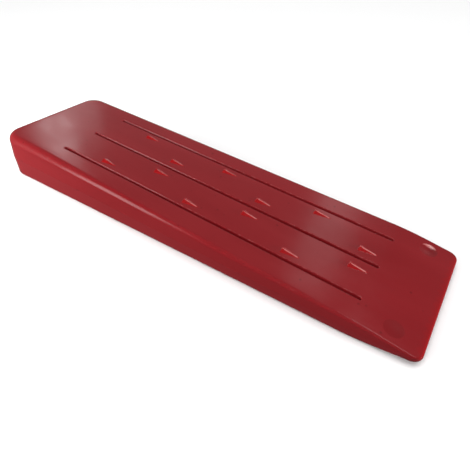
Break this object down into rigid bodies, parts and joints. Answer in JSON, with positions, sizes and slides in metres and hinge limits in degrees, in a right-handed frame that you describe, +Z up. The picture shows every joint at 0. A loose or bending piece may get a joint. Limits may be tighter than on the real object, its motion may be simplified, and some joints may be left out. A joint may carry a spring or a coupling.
{
  "type": "felling wedge",
  "caption": "Long tapered plastic wedge with guide grooves and gripping barbs, driven into a felling cut to lift and tip a tree.",
  "frame": {"origin": "centre of the bounding box on the plane of the underside, which the wedge lies on", "axes": "+X along the wedge from the striking butt to the tip, +Y across it, +Z up through its thickness"},
  "size_m": [0.254, 0.074, 0.0258],
  "materials": {
    "red_plastic": "satin, fine moulded grain"
  },
  "bodies": {
    "root": {"wedge_body": "red_plastic"}
  },
  "joints": []
}
